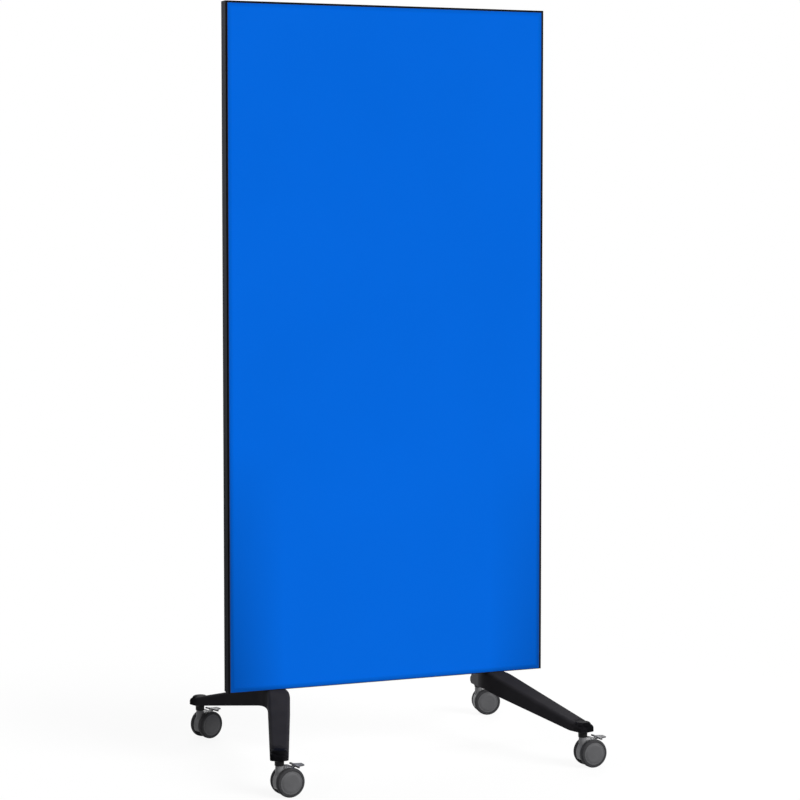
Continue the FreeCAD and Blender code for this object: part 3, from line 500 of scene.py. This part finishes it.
# Caster hoods: grey moulded fins between the wheels, with a round neck that turns on the stem.
# The steel axles and pedal pins are pressed into them.
CORNERS = ("front_left", "rear_left", "front_right", "rear_right")
hood_grey, tree, shader = new_finish("grey_hood_plastic", Specular_IOR_Level=0.25)
add_skin(
    tree, shader, dark=paint(114, 114, 116), light=paint(126, 126, 128),
    smooth=0.42, rough=0.58, grain=1500.0, blotch=40.0, depth=0.00003,
)
rub_and_highlight_edges(tree, shader, pale=paint(128, 128, 130), width=0.0006, breakup=160.0)
dress(hood_grey, *[f"{corner}_hood" for corner in CORNERS])

bright_steel, tree, shader = new_finish("bright_steel", Metallic=1.0)
add_skin(
    tree, shader, dark=paint(150, 152, 155), light=paint(172, 174, 176),
    smooth=0.18, rough=0.34, grain=1500.0, blotch=80.0, depth=0.00001,
)
dress(bright_steel, *[f"{corner}_{pin}" for corner in CORNERS for pin in ("axle", "pedal_pin")])


# Wheels: two to a caster, each a black nylon core that turns on the axle, a soft dark grey tread moulded
# round it with a parting line along its middle, and a satin grey cover that snaps into the rim.
def node_points(name):
    """All corners of a CAD node's mesh, one row each."""
    mesh = frame["nodes"][name].data
    flat = np.empty(len(mesh.vertices) * 3)
    mesh.vertices.foreach_get("co", flat)
    return flat.reshape(-1, 3)


def rounded_outline(corners, steps=6):
    """Closed outline of corners (x, y, radius): each corner with a radius becomes an arc that meets both
    its sides, centre + radius * (cos a, sin a), with a turning from one side's normal to the other's."""
    spots = np.array([corner[:2] for corner in corners], float)
    runs = np.roll(spots, -1, axis=0) - spots
    runs /= np.linalg.norm(runs, axis=1, keepdims=True)
    points = []
    for spot, radius, before, after in zip(spots, [c[2] for c in corners], np.roll(runs, 1, axis=0), runs):
        if radius == 0:
            points.append(spot[None, :])
            continue
        turn = math.atan2(before[0] * after[1] - before[1] * after[0], before @ after)
        setback = radius * math.tan(abs(turn) / 2)
        side = math.copysign(1, turn)
        centre = spot - before * setback + side * radius * np.array([-before[1], before[0]])
        first = math.atan2(-side * before[0], side * before[1])
        angle = first + np.linspace(0, turn, steps)
        points.append(centre + radius * np.stack([np.cos(angle), np.sin(angle)], -1))
    return np.concatenate(points)


def turned_points(outline, centre, axis, count):
    """Outline of (radius, place along the axis) carried round an axis: one row of points for each outline
    point, at centre + along * axis + radius * (cos a * east + sin a * up)."""
    up = np.array([0.0, 0.0, 1.0])
    east = np.cross(axis, up)
    angle = np.linspace(0, math.tau, count, endpoint=False)[None, :, None]
    around = np.cos(angle) * east + np.sin(angle) * up
    return centre + outline[:, 1, None, None] * axis + outline[:, 0, None, None] * around


SEGMENTS = 96
core_black, tree, shader = new_finish("wheel_core_nylon", Specular_IOR_Level=0.2)
add_skin(
    tree, shader, dark=paint(40, 40, 42), light=paint(48, 48, 50),
    smooth=0.5, rough=0.65, grain=1300.0, blotch=50.0, depth=0.00003,
)
tread_grey, tree, shader = new_finish("tread_rubber", Specular_IOR_Level=0.12)
add_skin(
    tree, shader, dark=paint(52, 52, 54), light=paint(62, 62, 64),
    smooth=0.6, rough=0.78, grain=900.0, blotch=90.0, depth=0.00004,
)
# paler shoulder edges: part wear, part painted highlight
rub_and_highlight_edges(tree, shader, pale=paint(84, 84, 85), width=0.0012, breakup=220.0)
cover_grey, tree, shader = new_finish("cover_plastic", Specular_IOR_Level=0.2)
add_skin(
    tree, shader, dark=paint(83, 83, 85), light=paint(92, 92, 94),
    smooth=0.45, rough=0.6, grain=1700.0, blotch=35.0, depth=0.00002,
)
rub_and_highlight_edges(tree, shader, pale=paint(124, 124, 126), width=0.0006, breakup=200.0)
SHOULDER_ROUND = 0.005
INNER_ROUND = 0.003
PARTING_RISE = 0.00012
PARTING_HALF = 0.0004
FLAT_SHARE = 0.66
CROWN_ROUND = 0.008
GROOVE_SHARE = 0.88
GROOVE_HALF = 0.0005
GROOVE_DEPTH = 0.0004
GROOVE_FALL = 0.0005
GATE_RADIUS = 0.0011
GATE_DEPTH = 0.0002
COVER_DROP = 0.0008
COVER_WALL = 0.002


def reach_of(name, hub, outward):
    """A CAD node's least and greatest place along the axle line, and least and greatest radius round it."""
    arm = node_points(name) - hub
    along = arm @ outward
    radius = np.linalg.norm(arm - along[:, None] * outward, axis=1)
    return along.min(), along.max(), radius.min(), radius.max()


for corner in CORNERS:
    for side in ("near", "far"):
        wheel = f"{corner}_{side}_wheel"
        dress(core_black, f"{wheel}_core")
        roll = joints[f"{wheel}_roll"]
        hub = np.array(roll["pos_m"])
        outward = np.array(roll["axis"], float) * (1 if side == "far" else -1)
        inner, outer, bore, rim = reach_of(f"{wheel}_tread", hub, outward)
        middle = (outer + inner) / 2
        band = rim - PARTING_RISE
        tread_outline = rounded_outline(
            [
                (bore, inner, 0),
                (band, inner, INNER_ROUND),
                (band, middle - PARTING_HALF, 0),
                (rim, middle, 0),
                (band, middle + PARTING_HALF, 0),
                (band, outer, SHOULDER_ROUND),
                (bore, outer, 0),
            ],
            steps=9,
        )
        tread = new_piece(
            f"{wheel}_soft_tread",
            turned_points(tread_outline, hub, outward, SEGMENTS),
            grid_faces(len(tread_outline), SEGMENTS, rows_close=True),
            tread_grey,
            wheel,
        )
        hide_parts(f"{wheel}_tread")
        back, face, _, edge = reach_of(f"{wheel}_cover", hub, outward)
        groove = edge * GROOVE_SHARE
        cover_outline = rounded_outline(
            [
                (0, face - GATE_DEPTH, 0),
                (GATE_RADIUS, face - GATE_DEPTH, 0),
                (GATE_RADIUS + GATE_DEPTH, face, 0),
                (edge * FLAT_SHARE, face, CROWN_ROUND),
                (groove - GROOVE_HALF, face - GROOVE_FALL, 0),
                (groove, face - GROOVE_FALL - GROOVE_DEPTH, 0),
                (groove + GROOVE_HALF, face - GROOVE_FALL, 0),
                (edge, face - COVER_DROP, COVER_DROP),
                (edge, back, 0),
                (edge - COVER_WALL, back, 0),
                (edge - COVER_WALL, face - COVER_WALL - COVER_DROP, 0),
                (0, face - COVER_WALL, 0),
            ]
        )
        cover_points = turned_points(cover_outline[1:-1], hub, outward, SEGMENTS)
        poles = hub + cover_outline[[0, -1], 1][:, None] * outward
        rows = len(cover_outline) - 2
        start = np.arange(SEGMENTS)
        follow = (start + 1) % SEGMENTS
        last = (rows - 1) * SEGMENTS
        pole = np.full(SEGMENTS, rows * SEGMENTS)
        faces = grid_faces(rows, SEGMENTS)
        faces += np.stack([pole, follow, start], -1).tolist()
        faces += np.stack([pole + 1, last + start, last + follow], -1).tolist()
        cover = new_piece(
            f"{wheel}_snap_cover",
            np.concatenate([cover_points.reshape(-1, 3), poles]),
            faces,
            cover_grey,
            wheel,
        )
        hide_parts(f"{wheel}_cover")


# Brake pedals: grey mouldings that tip on their pins, pressed by foot on the toe plate, whose raised bars
# keep a shoe from slipping. The faces that look back at the hood are darkened as painted shade.
PEDAL_SHADE = paint(34, 34, 36)
SHADE_FULL = -0.6
SHADE_START = -0.4
pedal_grey, tree, shader = new_finish("pedal_plastic", Specular_IOR_Level=0.1)
add_skin(
    tree, shader, dark=paint(88, 88, 91), light=paint(98, 98, 101),
    smooth=0.42, rough=0.58, grain=1500.0, blotch=60.0, depth=0.00003,
)
rub_and_highlight_edges(tree, shader, pale=paint(112, 112, 115), width=0.0007, breakup=160.0)
# painted shade: faces whose normal points back at the hood are darker
facing = add_node(tree, "ShaderNodeSeparateXYZ")
tree.links.new(add_node(tree, "ShaderNodeTexCoord").outputs["Normal"], facing.inputs["Vector"])
hood_side_shade = spread(tree, facing.outputs["X"], 1, 0, SHADE_FULL, SHADE_START)
unshaded = shader.inputs["Base Color"].links[0].from_socket
tree.links.new(mixed_colour(tree, hood_side_shade, unshaded, PEDAL_SHADE), shader.inputs["Base Color"])
TOE_TIP_HALF = 0.01
TOE_NECK_HALF = 0.016
TOE_LENGTH = 0.019
BAR_SETBACKS = np.array([0.004, 0.0075, 0.011])
BAR_HALF = 0.0007
BAR_RISE = 0.0005
BAR_SINK = 0.0002
BAR_MARGIN = 0.0025
BAR_END = 0.03
BAR_STEPS = 25
BAR_ARC = 7


def bar_points(tip, crosswise, forward):
    """Bars across a toe plate, each a grid of (place along the bar, place round its half-oval section).
    The section fades to the ends as the fourth root of 1 - s ** 8, where s runs nearly from -1 to 1."""
    setback = BAR_SETBACKS[:, None, None, None]
    half = TOE_TIP_HALF + (TOE_NECK_HALF - TOE_TIP_HALF) * setback / TOE_LENGTH - BAR_MARGIN
    s = np.linspace(BAR_END - 1, 1 - BAR_END, BAR_STEPS)[None, :, None, None]
    turn = np.linspace(0, math.pi, BAR_ARC)[None, None, :, None]
    fade = (1 - s**8) ** 0.25
    up = np.array([0.0, 0.0, 1.0])
    section = BAR_HALF * fade * np.cos(turn) * forward + (BAR_RISE * fade * np.sin(turn) - BAR_SINK) * up
    return tip - setback * forward + half * s * crosswise + section


for corner in CORNERS:
    dress(pedal_grey, f"{corner}_brake_pedal")
    crosswise = np.array(joints[f"{corner}_pedal_tip"]["axis"], float)
    forward = np.cross(crosswise, (0, 0, 1))
    pin = np.array(joints[f"{corner}_pedal_tip"]["pos_m"])
    arm = node_points(f"{corner}_brake_pedal") - pin
    tip = pin + forward * (arm @ forward).max() + np.array([0, 0, arm[:, 2].max()])
    one_bar = np.array(grid_faces(BAR_STEPS, BAR_ARC))
    one_end = np.arange(BAR_ARC)
    other_end = one_end + (BAR_STEPS - 1) * BAR_ARC
    faces = []
    for first in np.arange(len(BAR_SETBACKS)) * BAR_STEPS * BAR_ARC:
        faces += (one_bar + first).tolist()
        faces += [(one_end + first).tolist(), (other_end + first).tolist()]
    bars = bar_points(tip, crosswise, forward)
    new_piece(f"{corner}_pedal_bars", bars, faces, pedal_grey, f"{corner}_pedal")


# Floor, light and camera: a plain pale floor that keeps the shadow, a broad soft lamp from the front right,
# a weaker one from behind, a soft spot on the upper left edge, and the lens at the photograph's place.
def seen_straight(tree):
    """1 for rays from the lens and for what glossy or clear surfaces show, 0 for light that is spread."""
    path = add_node(tree, "ShaderNodeLightPath").outputs
    mirrored = reckon(tree, "MAXIMUM", path["Is Glossy Ray"], path["Is Transmission Ray"])
    return reckon(tree, "MAXIMUM", path["Is Camera Ray"], mirrored)


def blend_shaders(tree, share, first, second, output):
    """First shader where the share is 0 and second where it is 1, as the tree's result."""
    mix = add_node(tree, "ShaderNodeMixShader", {0: share, 1: first, 2: second})
    tree.links.new(mix.outputs["Shader"], tree.nodes[output].inputs["Surface"])


FLOOR_RADIUS = 9.0
FLOOR_CORNERS = 96
FLOOR_GREY = (0.28, 0.28, 0.28, 1.0)
WHITE = (1.0, 1.0, 1.0, 1.0)
NEAR_WHITE = 0.9
SHADOW_REACH = 0.7
WHITE_REACH = 1.7
round_floor = np.linspace(0, math.tau, FLOOR_CORNERS, endpoint=False)
floor_points = FLOOR_RADIUS * np.stack([np.cos(round_floor), np.sin(round_floor), 0 * round_floor], -1)
floor_mesh = bpy.data.meshes.new("floor")
floor_mesh.from_pydata(floor_points.tolist(), [], [list(range(FLOOR_CORNERS))])
pale, tree, shader = new_finish("pale_floor", Roughness=0.9, Specular_IOR_Level=0.0)
straight = seen_straight(tree)
tree.links.new(mixed_colour(tree, straight, FLOOR_GREY, WHITE), shader.inputs["Base Color"])
away = add_node(tree, "ShaderNodeVectorMath", {0: surface_place(tree)}, operation="LENGTH").outputs["Value"]
white_share = spread(tree, away, NEAR_WHITE, 1, SHADOW_REACH, WHITE_REACH)
lit_share = reckon(tree, "MULTIPLY", straight, white_share)
plain_white = add_node(tree, "ShaderNodeEmission", {"Color": WHITE, "Strength": 1.0}).outputs["Emission"]
blend_shaders(tree, lit_share, shader.outputs["BSDF"], plain_white, "Material Output")
floor_mesh.materials.append(pale)
floor = bpy.data.objects.new("floor", floor_mesh)
bpy.context.scene.collection.objects.link(floor)

SPREAD_LIGHT = 0.2
scene = bpy.context.scene
scene.view_settings.view_transform = "Standard"
world = bpy.data.worlds.new("studio")
scene.world = world
world.use_nodes = True
tree = world.node_tree
dim = tree.nodes["Background"]
dim.inputs["Color"].default_value = WHITE
dim.inputs["Strength"].default_value = SPREAD_LIGHT
bright = add_node(tree, "ShaderNodeBackground", {"Color": WHITE, "Strength": 1.0}).outputs["Background"]
blend_shaders(tree, seen_straight(tree), dim.outputs["Background"], bright, "World Output")

KEY_DIRECTION = (0.497, -0.709, 0.5)
KEY_STRENGTH = 3.17
KEY_SOFTNESS = 35
BACK_DIRECTION = (0.25, 0.85, 0.45)
BACK_STRENGTH = 2.1
BACK_SOFTNESS = 60
for name, direction, strength, softness in (
    ("key_lamp", KEY_DIRECTION, KEY_STRENGTH, KEY_SOFTNESS),
    ("back_lamp", BACK_DIRECTION, BACK_STRENGTH, BACK_SOFTNESS),
):
    lamp = bpy.data.lights.new(name, "SUN")
    lamp.energy = strength
    lamp.angle = math.radians(softness)
    holder = bpy.data.objects.new(name, lamp)
    holder.rotation_euler = Vector(direction).to_track_quat("Z", "Y").to_euler()
    scene.collection.objects.link(holder)

SPOT_PLACE = Vector((-2.2, 0.15, 2.3))
SPOT_AIM = Vector((-0.45, 0, 1.75))
SPOT_WATTS = 165
SPOT_CONE = 80
SPOT_FADE = 1.0
SPOT_RADIUS = 0.25
spot_lamp = bpy.data.lights.new("spot_lamp", "SPOT")
spot_lamp.energy = SPOT_WATTS
spot_lamp.spot_size = math.radians(SPOT_CONE)
spot_lamp.spot_blend = SPOT_FADE
spot_lamp.shadow_soft_size = SPOT_RADIUS
holder = bpy.data.objects.new("spot_lamp", spot_lamp)
holder.location = SPOT_PLACE
holder.visible_glossy = False  # so that the frame's top face doesn't mirror it
holder.rotation_euler = (SPOT_PLACE - SPOT_AIM).to_track_quat("Z", "Y").to_euler()
scene.collection.objects.link(holder)

CAMERA_PLACE = (-2.25122, -5.77077, 1.48115)
CAMERA_TURN = 0.37787
CAMERA_DIP = 0.06353
FOCAL_PIXELS = 2325.6
PICTURE_PIXELS = 800
CAMERA_SHIFT = -0.0625
lens = bpy.data.cameras.new("lens")
lens.lens = FOCAL_PIXELS / PICTURE_PIXELS * lens.sensor_width
lens.shift_y = CAMERA_SHIFT
camera = bpy.data.objects.new("camera", lens)
camera.location = CAMERA_PLACE
camera.rotation_euler = (math.pi / 2 - CAMERA_DIP, 0, -CAMERA_TURN)
scene.collection.objects.link(camera)
scene.camera = camera
